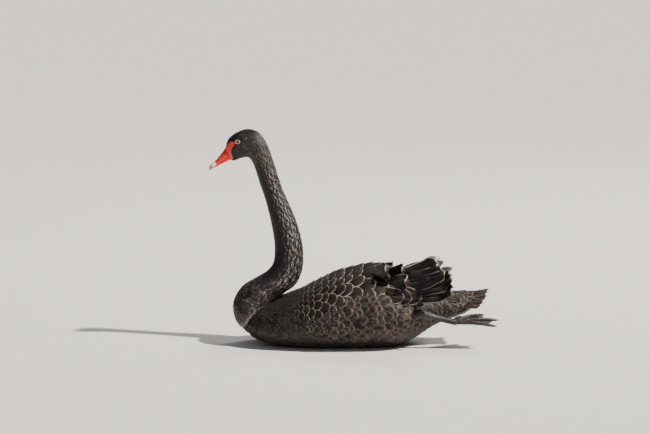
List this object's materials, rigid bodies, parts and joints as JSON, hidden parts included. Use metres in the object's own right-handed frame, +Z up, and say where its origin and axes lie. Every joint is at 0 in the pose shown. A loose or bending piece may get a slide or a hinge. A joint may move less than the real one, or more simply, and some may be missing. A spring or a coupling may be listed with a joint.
{
  "type": "black swan model",
  "caption": "Life-size still model of a black swan with a raised S-shaped neck, ruffled wings and one foot stretched back, resting on its belly.",
  "frame": {"origin": "middle of the flat patch under the belly, on the floor", "axes": "+Z up, -X the way the bill points, -Y the bird's left side"},
  "size_m": [0.7103, 0.3441, 0.5315],
  "materials": {
    "plumage": "matt brown-black feathers with paler edges",
    "bill": "satin red horn",
    "nail": "pale horn",
    "eye": "wet, glossy red",
    "leg": "dark grey scaly skin"
  },
  "bodies": {
    "root": {"head": "plumage", "bill_upper": "bill", "bill_lower": "bill", "bill_nail": "nail", "eye_left": "eye", "eye_right": "eye", "neck_upper": "plumage", "neck_middle": "plumage", "neck_lower": "plumage", "torso": "plumage", "wing_left": "plumage", "wing_right": "plumage", "tail": "plumage", "leg_left": "leg", "leg_right": "leg", "foot_left": "leg", "foot_right": "leg"}
  },
  "joints": []
}
